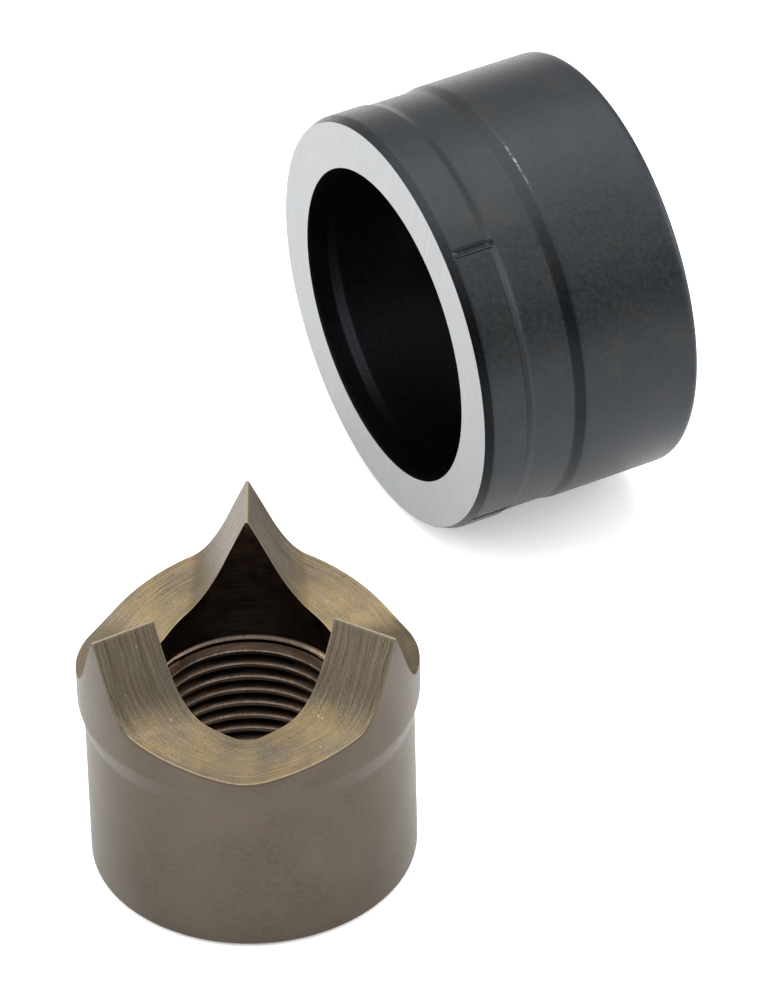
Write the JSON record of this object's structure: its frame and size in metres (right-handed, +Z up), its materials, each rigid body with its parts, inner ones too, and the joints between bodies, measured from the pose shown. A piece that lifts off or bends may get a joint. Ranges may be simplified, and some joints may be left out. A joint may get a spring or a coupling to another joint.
{
  "type": "knockout punch",
  "caption": "Knockout punch with a crown of milled points and a threaded bore, and its cup-shaped cutting die lying beside it, for making round holes in sheet metal.",
  "frame": {"origin": "centre of the punch's base, on the punch's axis and on the surface that both pieces rest on", "axes": "+Z up along the punch's axis towards its points, +Y through one point of the punch and away from the viewer, +X to the right"},
  "size_m": [0.0601, 0.0997, 0.0433],
  "materials": {
    "hardened_tool_steel": "turned and milled tool steel, tempered to a warm brown-grey, bright where milled",
    "black_oxide_steel": "turned tool steel with a black oxide finish, front face surface ground bright"
  },
  "bodies": {
    "die": {"die": "black_oxide_steel"},
    "punch": {"punch": "hardened_tool_steel"}
  },
  "joints": [
    {"name": "punch_draw", "type": "slide", "parent": "die", "child": "punch", "axis": [0, 0, 1], "range_m": [0, 0.019]}
  ]
}
